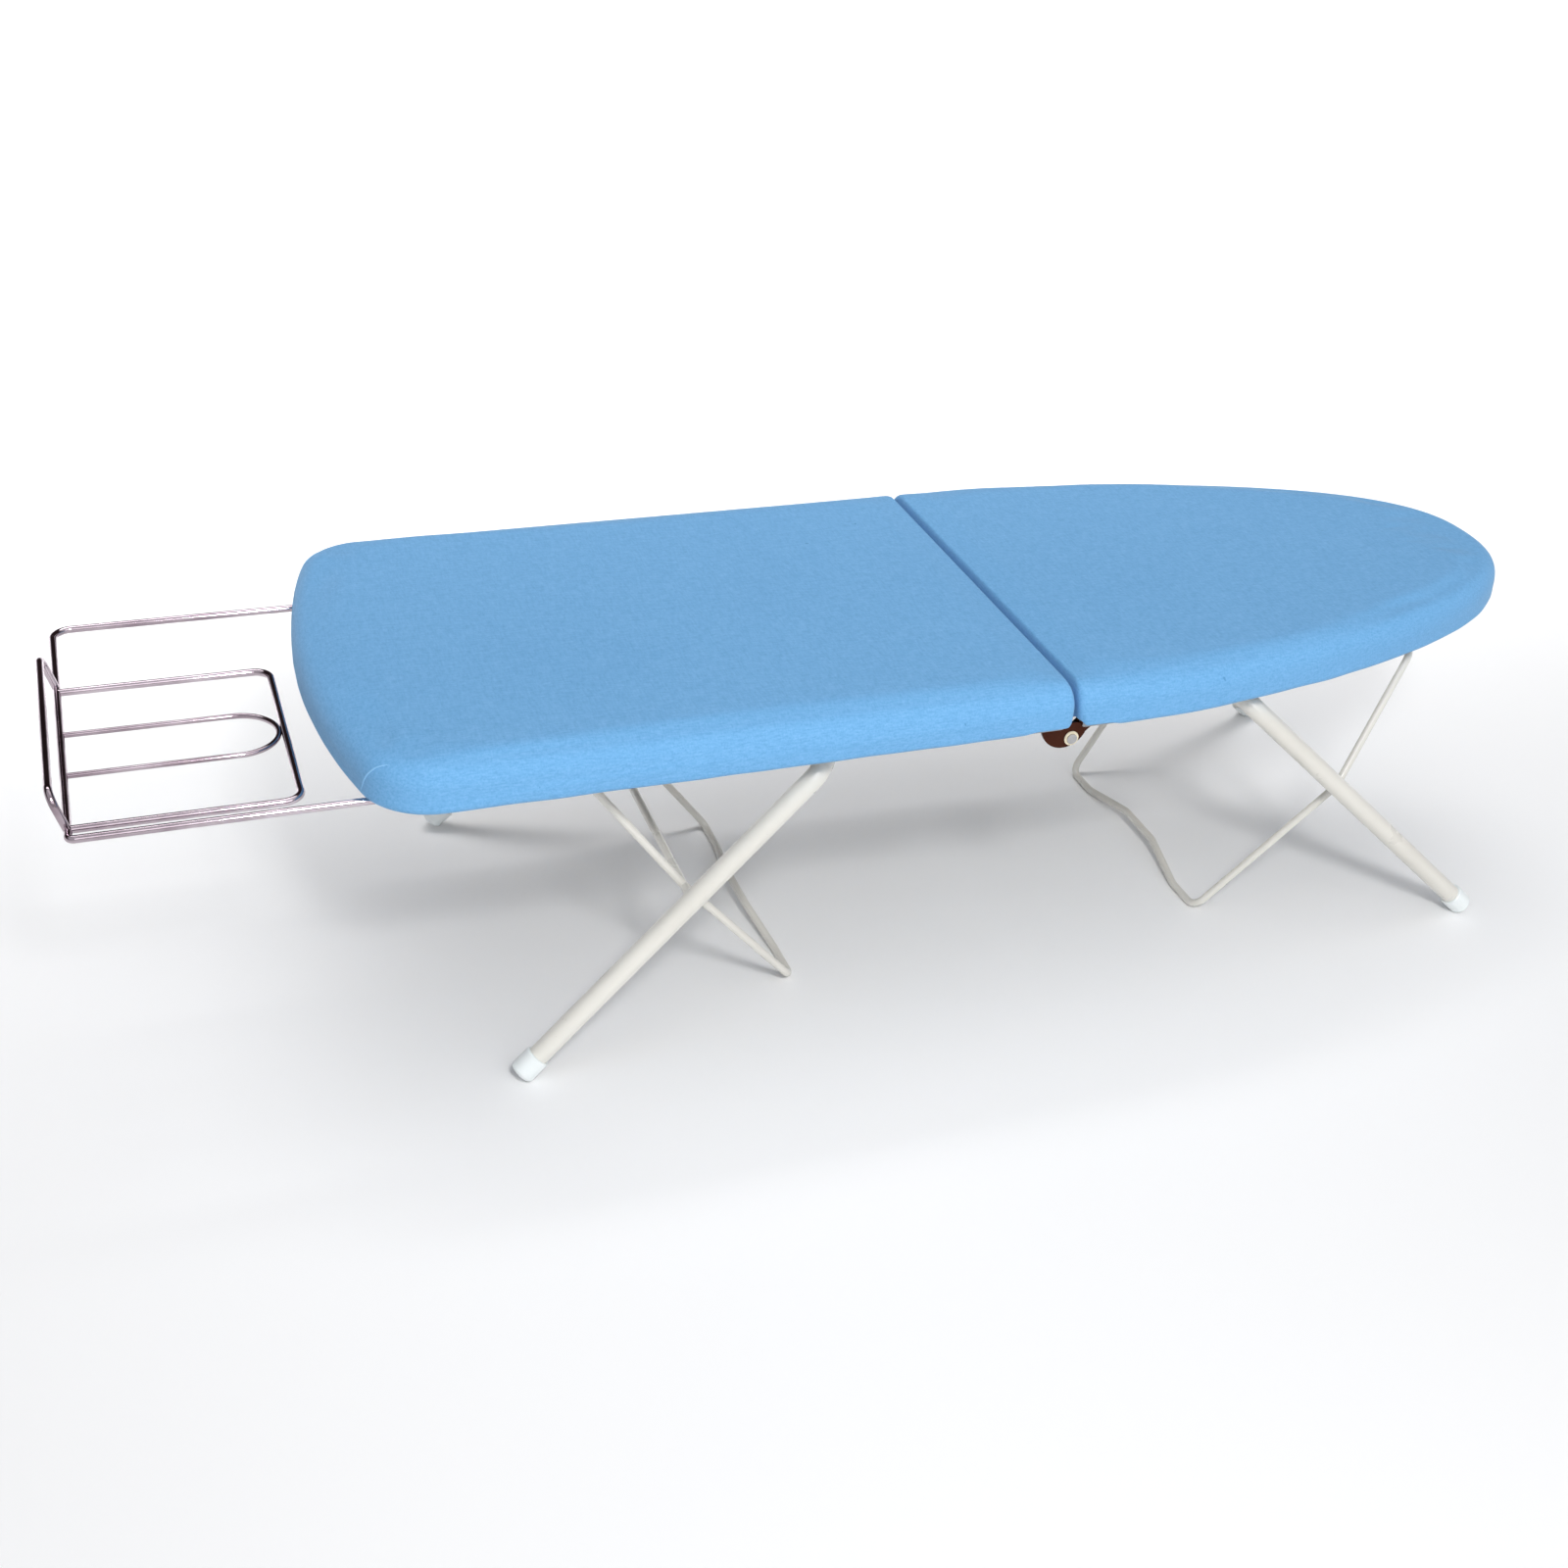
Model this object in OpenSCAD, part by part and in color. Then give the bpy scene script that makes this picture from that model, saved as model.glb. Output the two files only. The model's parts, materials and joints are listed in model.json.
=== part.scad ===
// Folding table-top ironing board: two padded halves joined by side hinges,
// two scissor leg sets and a pull-out wire iron rest. Millimetres, +Z up.
// All places are measured from the fold line at table height, then the whole
// board is moved along X so that the origin is under the middle of its length.

/* [Board] */
// Width over the cover
board_w = 312; // [300:2:330]
// Length of the square half, from the fold to its end
rear_len = 428; // [410:2:450]
// Length of the pointed half, from the fold to its tip
nose_len = 389; // [370:2:400]
// Height of the ironing surface above the table
board_h = 222; // [220:1:230]
// Height of the cover's side, from hem to ironing surface
skirt_h = 31; // [30:1:33]
// Radius of the square half's outer corners
corner_r = 42; // [30:1:60]
// Radius of the slight outward bow of the square half's end
end_bow_r = 480; // [400:10:2000]
// Gap between the two covers at the fold
fold_gap = 1; // [0.6:0.1:3]

/* [Cover and pad] */
// Thickness of the cotton cover
cover_t = 1.2; // [0.8:0.1:1.5]
// Rounding of the cover's upper edge
edge_r = 13; // [8:1:16]
// Width of the hem turned under the deck
hem_w = 20; // [14:1:26]

/* [Deck] */
// Thickness of the deck's sheet steel
sheet_t = 1; // [0.8:0.1:1.5]
// Diameter of the deck's steam vents
vent_d = 14; // [8:1:18]

/* [Legs] */
// Diameter of the leg tube
tube_d = 12.7; // [12:0.1:13]
// Wall thickness of the leg tube
tube_wall = 1; // [0.8:0.1:1.5]
// Diameter of the leg wire and the axle
wire_d = 5; // [4:0.1:5.4]
// Slope of the tube leg
tube_slope = 42.4; // [41:0.1:44]
// Slope of the wire leg
wire_slope = 51.2; // [50:0.1:52]
// Height of the axle where the two legs cross
axle_h = 100.9; // [98:0.1:104]
// Distance from the fold to the rear axle
axle_out = 228.5; // [226:0.5:231]
// How much nearer to the fold the nose leg set is
nose_shift = 6; // [4:0.5:8]
// Half the width between the tubes at their pivot
tube_top_y = 128; // [126:0.5:129]
// Half the width between the tubes at their feet
tube_foot_y = 146; // [140:0.5:147]
// Radius of the plastic foot cap
cap_r = 7.8; // [7.2:0.1:7.9]

/* [Iron rest] */
// Diameter of the two slide rods and the end bar
rod_d = 4.4; // [4:0.1:4.6]
// Half the width between the slide rods
rod_y = 122.4; // [121:0.1:124]
// Distance from the fold to the end bar, pulled out
rest_out = 556.7; // [550:0.1:570]
// Distance from the fold to the bar that ends the tray
tray_out = 439; // [436:0.5:445]
// Side of the tray nearer the middle of the board
tray_y_far = 40.7; // [38:0.1:44]
// Side of the tray nearer the edge of the board
tray_y_near = -112.4; // [-114:0.1:-110]
// Diameter of the thin middle wire
thin_d = 3.2; // [2.8:0.1:3.6]
// Height of the heel stop above the tray
stop_h = 22; // [18:1:26]

/* [Hidden] */

curve_steps = 48;
corner_steps = 9;
bow_steps = 8;

// A bend is this much thicker than the straights, which run into it a little.
swell = 0.02;
lap = 0.2;

// The board along X, and the move that centres its length on the origin.
stop_lean = 6.5;
half_w = board_w / 2;
overall_out = rest_out + stop_lean + rod_d / 2;
origin_x = (overall_out - nose_len) / 2;

// Heights of the deck and its coverings.
hem_z = board_h - skirt_h;
deck_top = board_h - 9;
skin_z = deck_top - sheet_t;
rim_z = hem_z + 2;
rim_inset = 4.5;
room_h = 5.6;
room_y = 138;
room_w = 14.4;
room_out = 36;
rim_room_w = 12.5;
rim_room_out = 10;
pad_inset = 1.6;
pad_top = board_h - 1.5;
pad_low = hem_z + 7;
slack = 0.3;

// Fold hinge.
fold_z = 185.5;
plate_t = 2;
plate_y = 147.6;
disc_r = 15;
disc_x = -5;
disc_z = 194.5;
swing_r = 10.7;
rivet_r = 2.5;
head_r = 3.2;
washer_r = 4.6;
arm_r = 5.2;

// The iron rest slides just below the hem, and the legs fold up below it.
rod_r = rod_d / 2;
rest_z = hem_z - slack - rod_r;
stop_bar_out = 272;
guide_out = 275;
guide_len = 12;
thin_y = [-10.8, -56.5];

// Leg set, from the geometry of the two crossing legs.
tube_r = tube_d / 2;
wire_r = wire_d / 2;
leg_plane = rest_z - rod_r - slack - tube_r;
tube_up = (leg_plane - axle_h) / sin(tube_slope);
wire_up = (leg_plane - axle_h) / sin(wire_slope);
cap_round = 3;
foot_axis_z = cap_round + (cap_r - cap_round) * cos(tube_slope);
tube_len = (leg_plane - foot_axis_z) / sin(tube_slope);
wire_len = (leg_plane - wire_r) / sin(wire_slope);
pivot_out = axle_out - tube_up * cos(tube_slope);
track_out = axle_out + wire_up * cos(wire_slope);
track_in = pivot_out + tube_up + wire_up;
tube_bend = 20;
wire_top_y = 87;
wire_axle_y = 119;
wire_foot_y = 96;
hump_h = 10;
tube_splay = atan((tube_foot_y - tube_top_y) / tube_len);
axle_y = tube_top_y + (tube_foot_y - tube_top_y) * tube_up / tube_len;
cap_len = 15;
run_fit = 0.05;

// Brackets and tracks that hang from the deck.
bracket_y = 103.5;
bracket_t = 2.5;
bracket_r = tube_r + 1.4;
flange_w = 16;
flange_len = 34;
track_t = 2;
rear_track_y = 64;
nose_track_y = 0;
track_half_w = 12;
track_rise = 1.5;
track_lip = 2.2;
vent_pitch = 46;
head_h = 1.6;

FABRIC = [0.40, 0.64, 0.83];
FOAM = [0.93, 0.91, 0.84];
PAINT = [0.87, 0.85, 0.80];
CAP = [0.93, 0.93, 0.90];
CHROME = [0.78, 0.77, 0.78];
BRONZE = [0.25, 0.17, 0.13];
ZINC = [0.66, 0.67, 0.68];

// ---------- outlines of the two halves, as seen from above ----------

// Square half, reaching out along +X from the fold, pulled in by inset.
function rear_outline(inset) =
    let (near = fold_gap / 2 + inset, w = half_w - inset, bow = end_bow_r - inset,
         r = max(corner_r - inset, 4), q = max(8 - inset, 2), bow_x = rear_len - end_bow_r,
         meet = asin((w - r) / (bow - r)), corner_x = bow_x + (bow - r) * cos(meet))
    concat(
        [for (i = [0 : corner_steps]) let (a = -90 + (90 - meet) * i / corner_steps)
            [corner_x + r * cos(a), -w + r + r * sin(a)]],
        [for (i = [1 : bow_steps - 1]) let (a = meet * (2 * i / bow_steps - 1))
            [bow_x + bow * cos(a), bow * sin(a)]],
        [for (i = [0 : corner_steps]) let (a = meet + (90 - meet) * i / corner_steps)
            [corner_x + r * cos(a), w - r + r * sin(a)]],
        [for (i = [0 : 3]) let (a = 90 + 90 * i / 3)
            [near + q + q * cos(a), w - q + q * sin(a)]],
        [for (i = [0 : 3]) let (a = 180 + 90 * i / 3)
            [near + q + q * cos(a), -w + q + q * sin(a)]]);

// Half-width of the pointed half at a distance t (0 to 1) along its taper.
function taper(t) = pow(max(0, 1 - pow(t, 1.45)), 0.41);

// Pointed half, reaching out along +X from the fold, pulled in by inset.
function nose_outline(inset) =
    let (near = fold_gap / 2 + inset, far = nose_len - inset, w = half_w - inset,
         start = 50, q = max(8 - inset, 2), n = curve_steps / 2,
         side = [for (i = [0 : n]) let (t = sin(90 * i / n))
                    [start + (far - start) * t, w * taper(t)]])
    concat(
        [for (p = side) [p[0], -p[1]]],
        [for (i = [n - 1 : -1 : 0]) side[i]],
        [for (i = [0 : 3]) let (a = 90 + 90 * i / 3)
            [near + q + q * cos(a), w - q + q * sin(a)]],
        [for (i = [0 : 3]) let (a = 180 + 90 * i / 3)
            [near + q + q * cos(a), -w + q + q * sin(a)]]);

function outline(half, inset) = half == "rear" ? rear_outline(inset) : nose_outline(inset);

// Outline of a half where it lies: the square half reaches out along -X.
function lying(half, inset) =
    let (flat = outline(half, inset), n = len(flat))
    half == "rear" ? [for (i = [n - 1 : -1 : 0]) [-flat[i][0], flat[i][1]]] : flat;

// Closed skin through a chain of [inset, z] rings, capped at both ends.
module loft(half, chain) {
    n = len(outline(half, 0));
    rows = len(chain);
    points = [for (c = chain) for (p = lying(half, c[0])) [p[0], p[1], c[1]]];
    sides = [for (j = [0 : rows - 2]) for (i = [0 : n - 1]) let (k = (i + 1) % n)
                [j * n + i, (j + 1) * n + i, (j + 1) * n + k, j * n + k]];
    first = [for (i = [0 : n - 1]) i];
    last = [for (i = [n - 1 : -1 : 0]) (rows - 1) * n + i];
    polyhedron(points = points, faces = concat(sides, [first], [last]), convexity = 6);
}

// [inset, z] pairs over a rounded upper edge, from the flat top down to the side.
function edge_chain(inset, top, r, steps) =
    [for (i = [0 : steps]) let (a = 90 - 90 * i / steps)
        [inset + r * (1 - cos(a)), top - r * (1 - sin(a))]];

// ---------- placing ----------

module place() translate([origin_x, 0, 0]) children();

// Turns what reaches out along +X into the rear half's side of the fold.
module on_half(half) {
    if (half == "rear") mirror([1, 0, 0]) children();
    else children();
}

// Distance that a half's leg set is moved towards the fold.
function leg_dx(half) = half == "rear" ? 0 : -nose_shift;

// ---------- bent rod in the XY plane ----------

function unit(v) = v / norm(v);

// Length that a bend of radius r takes from each side of corner b.
function bend_cut(a, b, c, r) =
    let (turn = acos(min(1, max(-1, unit(b - a) * unit(c - b))))) r * tan(turn / 2);

// Section of a rod, or of a tube if it has a bore.
module section(r, bore) {
    difference() {
        circle(r = r, $fn = 48);
        if (bore > 0) circle(r = bore, $fn = 48);
    }
}

module rod_between(a, b, r, bore = 0) {
    d = b - a;
    translate([a[0], a[1], 0])
        rotate([0, 0, atan2(d[1], d[0])])
            rotate([0, 90, 0])
                linear_extrude(norm(d)) section(r, bore);
}

module rod_bend(a, b, c, bend, r, bore = 0) {
    u = unit(b - a);
    v = unit(c - b);
    side = u[0] * v[1] - u[1] * v[0] > 0 ? 1 : -1;
    turn = acos(min(1, max(-1, u * v)));
    from = b - u * bend_cut(a, b, c, bend);
    centre = from + side * bend * [-u[1], u[0]];
    start = atan2(from[1] - centre[1], from[0] - centre[0]);
    translate([centre[0], centre[1], 0])
        rotate([0, 0, side > 0 ? start : start - turn])
            rotate_extrude(angle = turn, $fn = 96)
                translate([bend, 0]) section(r, bore);
}

// Rod of radius r through corner points, each corner with its own bend radius.
// The first and last radius are not used on an open rod. A bore makes it a tube.
module bent_rod(points, bends, r, bore = 0, closed = false) {
    n = len(points);
    last = closed ? n - 1 : n - 2;
    for (i = [0 : last]) {
        a = points[i];
        b = points[(i + 1) % n];
        before = points[(i - 1 + n) % n];
        after = points[(i + 2) % n];
        start_cut = (!closed && i == 0) ? 0 : bend_cut(before, a, b, bends[i]);
        end_cut = (!closed && i == n - 2) ? 0 : bend_cut(a, b, after, bends[(i + 1) % n]);
        u = unit(b - a);
        start_lap = start_cut > 0 ? lap : 0;
        end_lap = end_cut > 0 ? lap : 0;
        rod_between(a + u * (start_cut - start_lap), b - u * (end_cut - end_lap), r, bore);
        if (closed || i < n - 2)
            rod_bend(a, b, after, bends[(i + 1) % n], r + swell, bore > 0 ? bore - swell : 0);
    }
}

// ---------- deck, pad and cover ----------

module slab(half, inset, low, high) {
    translate([0, 0, low]) linear_extrude(high - low) polygon(outline(half, inset));
}

// Room for the hinge plates in the fold end of a deck or a hem.
module hinge_room(low, high) {
    for (s = [-1, 1])
        translate([-1, s > 0 ? room_y : -room_y - room_w, low]) cube([room_out, room_w, high - low]);
}

module deck(half) {
    long = half == "rear" ? rear_len : nose_len;
    on_half(half)
        difference() {
            slab(half, rim_inset, rim_z, deck_top);
            slab(half, rim_inset + sheet_t, rim_z - 1, skin_z);
            for (x = [vent_pitch : vent_pitch : long - vent_pitch], k = [-2 : 2]) {
                y = k * vent_pitch;
                reach = half == "rear" ? half_w : half_w * taper(max(0, (x - 30) / (long - 50)));
                if (abs(y) < reach - 30 && !vent_blocked(half, x, y))
                    translate([x, y, skin_z - 1]) cylinder(h = sheet_t + 2, d = vent_d, $fn = 40);
            }
            for (s = [-1, 1])
                translate([fold_gap, s > 0 ? room_y : -room_y - rim_room_w, rim_z - 1])
                    cube([rim_room_out, rim_room_w, skin_z - rim_z + 1]);
        }
}

// Vents are left out where a bracket, track or guide is riveted on.
function vent_blocked(half, x, y) =
    let (dx = leg_dx(half), track_y = half == "rear" ? rear_track_y : nose_track_y)
    (abs(x - pivot_out - dx) < 30 && abs(abs(y) - bracket_y) < 24)
    || (x > track_out + dx - 22 && x < track_in + dx + 20 && abs(y - track_y) < 26)
    || (half == "rear" && abs(x - guide_out) < 26 && abs(y) > 90);

module pad(half) {
    top = edge_chain(pad_inset, pad_top, edge_r - 2, 4);
    loft(half, concat(
        [[pad_inset + edge_r + 4, pad_top]], top,
        [[pad_inset, pad_low], [rim_inset - slack, pad_low],
         [rim_inset - slack, deck_top + slack]]));
}

module cover(half) {
    t = cover_t;
    outside = edge_chain(0, board_h, edge_r, 5);
    inside = edge_chain(t, board_h - t, edge_r - t, 5);
    inside_up = [for (i = [len(inside) - 1 : -1 : 0]) inside[i]];
    difference() {
        loft(half, concat(
            [[edge_r + 6, board_h]], outside,
            [[0, hem_z + 5], [1.4, hem_z + 1.4], [5, hem_z],
             [hem_w, hem_z], [hem_w, hem_z + t],
             [5, hem_z + t], [2.3, hem_z + 2.3], [t, hem_z + 5]],
            inside_up,
            [[edge_r + 6, board_h - t]]));
        on_half(half) hinge_room(hem_z - 1, hem_z + room_h);
    }
}

// Elastic cord that draws the hem in, lying on the hem inside the rim.
module hem_cord(half) {
    low = hem_z + cover_t + 0.1;
    on_half(half)
        difference() {
            slab(half, hem_w - 3, low, low + 2);
            slab(half, hem_w - 1, low - 1, low + 3);
            hinge_room(low - 1, low + 3);
        }
}

// ---------- brackets, tracks and rivets under the deck ----------

// Pair of upright ears that carry the top bar of the tube leg.
module pivot_brackets(half) {
    on_half(half)
        translate([pivot_out + leg_dx(half), 0, 0])
            for (s = [-1, 1])
                difference() {
                    union() {
                        translate([0, s * bracket_y, leg_plane])
                            rotate([90, 0, 0])
                                cylinder(h = bracket_t, r = bracket_r, center = true, $fn = 64);
                        translate([-bracket_r, s * bracket_y - bracket_t / 2, leg_plane])
                            cube([2 * bracket_r, bracket_t, skin_z - leg_plane]);
                        translate([-flange_len / 2, s * bracket_y - (s > 0 ? flange_w : 0),
                                   skin_z - bracket_t])
                            cube([flange_len, flange_w, bracket_t]);
                    }
                    translate([0, s * bracket_y, leg_plane])
                        rotate([90, 0, 0])
                            cylinder(h = 3 * bracket_t, r = tube_r + run_fit, center = true, $fn = 64);
                }
}

// Slotted channel in which the wire leg's top bar slides.
module leg_track(half) {
    y0 = half == "rear" ? rear_track_y : nose_track_y;
    a = track_out - wire_r - 0.4;
    b = track_in + wire_r + 0.4;
    low = leg_plane - wire_r - slack;
    slot_h = 2 * wire_r + 2 * slack + track_rise;
    on_half(half)
        translate([leg_dx(half), y0, 0])
            difference() {
                translate([a - 8, -track_half_w, low - track_lip])
                    cube([b - a + 16, 2 * track_half_w, skin_z - low + track_lip]);
                translate([a - 9, -track_half_w + track_t, low - track_lip - 1])
                    cube([b - a + 18, 2 * (track_half_w - track_t),
                          skin_z - low + track_lip - track_t + 1]);
                translate([a, -track_half_w - 1, low])
                    cube([b - a, 2 * track_half_w + 2, slot_h]);
            }
}

// Rivet heads under the deck that hold brackets, track and guides.
module rivets(half) {
    dx = leg_dx(half);
    y0 = half == "rear" ? rear_track_y : nose_track_y;
    under_flange = skin_z - bracket_t;
    under_track = skin_z - track_t;
    on_half(half) {
        for (s = [-1, 1], e = [-1, 1])
            rivet_head([pivot_out + dx + e * 12, s * (bracket_y - 9), under_flange]);
        for (x = [track_out + 8, track_in - 8])
            rivet_head([x + dx, y0, under_track]);
    }
}

module rivet_head(at) {
    translate([at[0], at[1], at[2] - head_h])
        difference() {
            cylinder(h = head_h, r = head_r, $fn = 32);
            translate([0, 0, -1])
                difference() {
                    cylinder(h = 1.7, r = head_r + 1, $fn = 32);
                    cylinder(h = 1.7, r1 = head_r - 1.7, r2 = head_r, $fn = 32);
                }
        }
}

// Blocks under the deck that keep the slide rods in line.
module rod_guides() {
    low = rest_z - rod_r - 0.8;
    for (s = [-1, 1])
        difference() {
            translate([-guide_out - guide_len, s * rod_y - 5, low])
                cube([guide_len, 10, skin_z - low]);
            translate([-guide_out - guide_len - 1, s * rod_y, rest_z])
                rotate([0, 90, 0]) cylinder(h = guide_len + 2, r = rod_r + 0.08, $fn = 48);
        }
}

// ---------- fold hinge ----------

// Hinge parts are drawn on the near side (-Y) and mirrored to the far side.
module on_side(side) {
    if (side == "far") mirror([0, 1, 0]) children();
    else children();
}

// Half disc that hangs below the hem, with a tab riveted inside the rear rim.
module hinge_plate(side) {
    on_side(side)
        translate([0, -plate_y, 0])
            rotate([90, 0, 0])
                linear_extrude(plate_t)
                    difference() {
                        union() {
                            intersection() {
                                translate([disc_x, disc_z]) circle(r = disc_r, $fn = 96);
                                translate([-30, 170]) square([60, hem_z + room_h - 0.8 - 170]);
                                union() {
                                    translate([-30, 170]) square([30, 40]);
                                    translate([0, fold_z]) circle(r = swing_r, $fn = 96);
                                }
                            }
                            translate([-44, hem_z + 2]) square([36, 15]);
                        }
                        translate([0, fold_z]) circle(r = rivet_r + 0.02, $fn = 48);
                    }
}

// Arm on the nose half that turns on the hinge rivet.
module hinge_arm(side) {
    on_side(side)
        translate([0, -plate_y + plate_t + 0.2, 0])
            rotate([90, 0, 0])
                linear_extrude(plate_t)
                    difference() {
                        union() {
                            translate([0, fold_z]) circle(r = arm_r, $fn = 64);
                            polygon([[-2.6, fold_z + 4.4], [4.2, fold_z - 3], [20, hem_z + 5],
                                     [44, hem_z + 6], [44, hem_z + 17], [15, hem_z + 17]]);
                        }
                        translate([0, fold_z]) circle(r = rivet_r + run_fit, $fn = 48);
                    }
}

// Rivet through plate and arm, with a flat head inside and a domed one outside.
module hinge_rivet(side) {
    inner = plate_y - plate_t - 0.2 - 0.2;
    on_side(side)
        translate([0, -inner, fold_z])
            rotate([90, 0, 0]) {
                translate([0, 0, -1.4]) cylinder(h = 1.4, r = head_r + 0.8, $fn = 48);
                cylinder(h = 5.2, r = rivet_r, $fn = 48);
                translate([0, 0, 5.2]) cylinder(h = 0.9, r = head_r, $fn = 48);
            }
}

// Plastic washer under the outer rivet head.
module hinge_washer(side) {
    on_side(side)
        translate([0, -plate_y - plate_t - 0.02, fold_z])
            rotate([90, 0, 0])
                difference() {
                    cylinder(h = 0.7, r = washer_r, $fn = 64);
                    translate([0, 0, -1]) cylinder(h = 3, r = rivet_r + 0.02, $fn = 48);
                }
}

// ---------- legs ----------

// Lays a leg drawn in the XY plane, with +X from its top to its foot, down the
// slope of the tube, starting at the pivot.
module down_tube(half) {
    on_half(half)
        translate([pivot_out + leg_dx(half), 0, leg_plane])
            rotate([0, tube_slope, 0]) children();
}

// The same for the wire leg, which slopes the other way from its track.
module down_wire(half) {
    on_half(half)
        translate([track_out + leg_dx(half), 0, leg_plane])
            rotate([0, 180 - wire_slope, 0]) children();
}

// Corners of the tube leg's centre line, with feet at a distance down the slope.
function tube_path(down) =
    let (y = tube_top_y + down * tan(tube_splay))
    [[down, -y], [0, -tube_top_y], [0, tube_top_y], [down, y]];

module tube_leg(half) {
    bends = [0, tube_bend, tube_bend, 0];
    down_tube(half)
        difference() {
            bent_rod(tube_path(tube_len - 1.5), bends, tube_r, tube_r - tube_wall);
            for (s = [-1, 1])
                translate([tube_up, s * (axle_y - tube_r), 0])
                    rotate([90, 0, 0])
                        cylinder(h = tube_r + 3, r = wire_r + run_fit, center = true, $fn = 48);
        }
}

// Plastic cap over the end of a tube; its rounded edge rests on the table.
module foot_cap(half, side) {
    s = side == "far" ? 1 : -1;
    down_tube(half)
        translate([0, s * tube_top_y, 0])
            rotate([0, 0, s * tube_splay])
                translate([tube_len / cos(tube_splay) + cap_round - cap_len, 0, 0])
                    rotate([0, 90, 0])
                        difference() {
                            rotate_extrude($fn = 96)
                                polygon(concat(
                                    [[0, 0], [cap_r - 0.6, 0], [cap_r, 0.6]],
                                    [for (i = [0 : 6]) let (a = 15 * i)
                                        [cap_r - cap_round + cap_round * cos(a),
                                         cap_len - cap_round + cap_round * sin(a)]],
                                    [[0, cap_len]]));
                            translate([0, 0, -1])
                                cylinder(h = cap_len - 2.5, r = tube_r + 0.02, $fn = 64);
                        }
}

module wire_leg(half) {
    knee = wire_up;
    foot = wire_len;
    path = [[0, -wire_top_y], [0, wire_top_y], [knee, wire_axle_y], [foot, wire_foot_y],
            [foot, 66], [foot - hump_h, 20], [foot - hump_h, -20], [foot, -66],
            [foot, -wire_foot_y], [knee, -wire_axle_y]];
    bends = [12, 12, 20, 11, 34, 34, 34, 34, 11, 20];
    down_wire(half) bent_rod(path, bends, wire_r, closed = true);
}

// Axle rod welded through the wire leg's knees; its ends turn in the two tubes.
module axle(half) {
    reach = axle_y - tube_r + tube_wall + 2.5;
    on_half(half)
        translate([axle_out + leg_dx(half), 0, axle_h])
            rotate([90, 0, 0]) cylinder(h = 2 * reach, r = wire_r, center = true, $fn = 48);
}

// ---------- iron rest ----------

module in_rest_plane() translate([0, 0, rest_z]) children();

module slide_frame() {
    in_rest_plane()
        bent_rod([[-stop_bar_out, -rod_y], [-rest_out, -rod_y], [-rest_out, rod_y],
                  [-stop_bar_out, rod_y]], [0, 3, 11, 0], rod_r);
}

module slide_stop_bar() {
    in_rest_plane()
        rod_between([-stop_bar_out, -rod_y - rod_r], [-stop_bar_out, rod_y + rod_r], rod_r);
}

module rest_tray() {
    in_rest_plane()
        bent_rod([[-rest_out, tray_y_near], [-tray_out, tray_y_near], [-tray_out, tray_y_far],
                  [-rest_out, tray_y_far]], [0, 10, 10, 0], rod_r);
}

module rest_middle_wire() {
    turn_r = (thin_y[0] - thin_y[1]) / 2 - 0.01;
    tip = -tray_out - rod_r - thin_d / 2 + 0.4;
    in_rest_plane()
        bent_rod([[-rest_out, thin_y[1]], [tip, thin_y[1]], [tip, thin_y[0]],
                  [-rest_out, thin_y[0]]], [0, turn_r, turn_r, 0], thin_d / 2);
}

// Loop that stands up from the end bar and keeps the iron's heel on the tray.
module heel_stop() {
    tall = norm([stop_h, stop_lean]);
    tilt = atan2(stop_lean, stop_h);
    translate([-rest_out, 0, rest_z])
        rotate([0, -90 - tilt, 0])
            mirror([1, 0, 0])
                bent_rod([[0, tray_y_near - 1], [-tall, tray_y_near - 1], [-tall, tray_y_far + 5],
                          [0, tray_y_far + 5]], [0, 8, 8, 0], rod_r);
}

// ---------- nodes ----------

place() color(ZINC) deck("rear");  // rear_deck
place() color(FOAM) pad("rear");  // rear_pad
place() color(FABRIC) cover("rear");  // rear_cover
place() color(FOAM) hem_cord("rear");  // rear_hem_cord
place() color(ZINC) pivot_brackets("rear");  // rear_pivot_brackets
place() color(ZINC) leg_track("rear");  // rear_leg_track
place() color(ZINC) rivets("rear");  // rear_rivets
place() color(CAP) rod_guides();
place() color(BRONZE) hinge_plate("near");  // near_hinge_plate
place() color(BRONZE) hinge_plate("far");  // far_hinge_plate
place() color(ZINC) hinge_rivet("near");  // near_hinge_rivet
place() color(ZINC) hinge_rivet("far");  // far_hinge_rivet
place() color(CAP) hinge_washer("near");  // near_hinge_washer
place() color(CAP) hinge_washer("far");  // far_hinge_washer
place() color(ZINC) deck("nose");  // nose_deck
place() color(FOAM) pad("nose");  // nose_pad
place() color(FABRIC) cover("nose");  // nose_cover
place() color(FOAM) hem_cord("nose");  // nose_hem_cord
place() color(ZINC) pivot_brackets("nose");  // nose_pivot_brackets
place() color(ZINC) leg_track("nose");  // nose_leg_track
place() color(ZINC) rivets("nose");  // nose_rivets
place() color(BRONZE) hinge_arm("near");  // near_hinge_arm
place() color(BRONZE) hinge_arm("far");  // far_hinge_arm
place() color(PAINT) tube_leg("rear");  // rear_tube_leg
place() color(CAP) foot_cap("rear", "near");  // rear_near_cap
place() color(CAP) foot_cap("rear", "far");  // rear_far_cap
place() color(PAINT) wire_leg("rear");  // rear_wire_leg
place() color(PAINT) axle("rear");  // rear_axle
place() color(PAINT) tube_leg("nose");  // nose_tube_leg
place() color(CAP) foot_cap("nose", "near");  // nose_near_cap
place() color(CAP) foot_cap("nose", "far");  // nose_far_cap
place() color(PAINT) wire_leg("nose");  // nose_wire_leg
place() color(PAINT) axle("nose");  // nose_axle
place() color(CHROME) slide_frame();
place() color(CHROME) slide_stop_bar();
place() color(CHROME) rest_tray();
place() color(CHROME) rest_middle_wire();
place() color(CHROME) heel_stop();
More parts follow.
